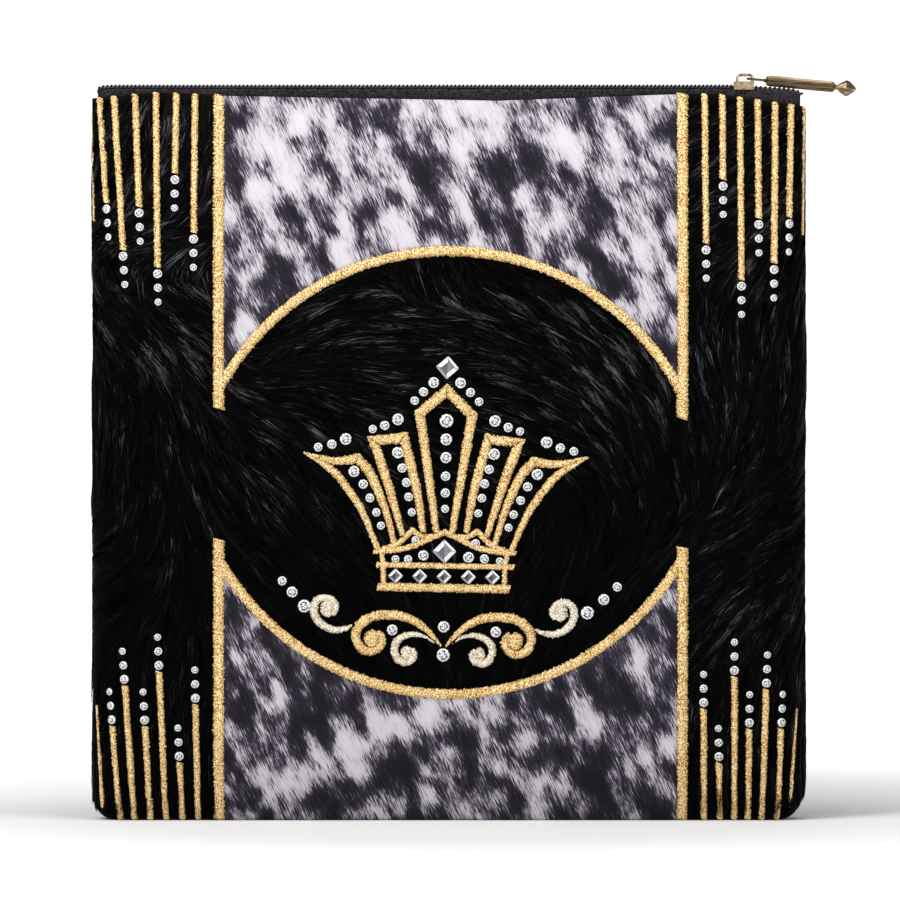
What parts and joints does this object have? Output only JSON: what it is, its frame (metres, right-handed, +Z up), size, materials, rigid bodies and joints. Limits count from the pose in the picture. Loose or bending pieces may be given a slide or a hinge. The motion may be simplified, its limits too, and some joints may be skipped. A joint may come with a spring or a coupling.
{
  "type": "tallit bag",
  "caption": "Flat upright zip pouch with fur front, printed panels, gold embroidered crown, scrolls and stripes, crystals and a coil zip with a swinging bar puller.",
  "frame": {"origin": "middle of the base that the bag stands on", "axes": "+X to the right seen from the front, -Y out of the front, +Z up towards the zip"},
  "size_m": [0.3671, 0.0473, 0.3577],
  "materials": {
    "black_hide": "short-haired hide",
    "black_backing": "soft grained",
    "printed_hide": "brushed print",
    "gold_thread": "satin stitch",
    "cream_thread": "satin stitch",
    "crystal": "cut and foiled",
    "zip_tape": "woven",
    "zip_coil": "glossy coil",
    "antique_brass": "antiqued"
  },
  "bodies": {
    "bag": {"front_panel": "black_hide", "back_panel": "black_backing", "print_panel_upper": "printed_hide", "print_panel_lower": "printed_hide", "border_upper": "gold_thread", "border_lower": "gold_thread", "crown": "gold_thread", "scroll_left_gold": "gold_thread", "scroll_right_gold": "gold_thread", "stripe_top_left_1": "gold_thread", "stripe_top_left_2": "gold_thread", "stripe_top_left_3": "gold_thread", "stripe_top_left_4": "gold_thread", "stripe_top_left_5": "gold_thread", "stripe_top_left_6": "gold_thread", "stripe_top_left_7": "gold_thread", "stripe_top_right_1": "gold_thread", "stripe_top_right_2": "gold_thread", "stripe_top_right_3": "gold_thread", "stripe_top_right_4": "gold_thread", "stripe_top_right_5": "gold_thread", "stripe_top_right_6": "gold_thread", "stripe_top_right_7": "gold_thread", "stripe_bottom_left_1": "gold_thread", "stripe_bottom_left_2": "gold_thread", "stripe_bottom_left_3": "gold_thread", "stripe_bottom_left_4": "gold_thread", "stripe_bottom_left_5": "gold_thread", "stripe_bottom_left_6": "gold_thread", "stripe_bottom_left_7": "gold_thread", "stripe_bottom_right_1": "gold_thread", "stripe_bottom_right_2": "gold_thread", "stripe_bottom_right_3": "gold_thread", "stripe_bottom_right_4": "gold_thread", "stripe_bottom_right_5": "gold_thread", "stripe_bottom_right_6": "gold_thread", "stripe_bottom_right_7": "gold_thread", "scroll_left_outer": "cream_thread", "scroll_left_inner": "cream_thread", "scroll_right_outer": "cream_thread", "scroll_right_inner": "cream_thread", "crystal_top": "crystal", "crystal_centre": "crystal", "crystal_base_1": "crystal", "crystal_base_2": "crystal", "crystal_base_3": "crystal", "crystal_base_4": "crystal", "crystal_base_5": "crystal", "crystal_column_1": "crystal", "crystal_column_2": "crystal", "crystal_column_3": "crystal", "crystal_column_4": "crystal", "crystal_column_5": "crystal", "zip_tape_front": "zip_tape", "zip_tape_back": "zip_tape", "zip_coil": "zip_coil", "zip_coil_end": "zip_coil", "zip_slider": "antique_brass"},
    "puller": {"pull_link": "antique_brass", "pull_bar": "antique_brass"}
  },
  "joints": [
    {"name": "pull_swing", "type": "hinge", "parent": "bag", "child": "puller", "pos_m": [0.1432, 0, 0.3552], "axis": [0, -1, 0], "range_deg": [0, 170]}
  ]
}
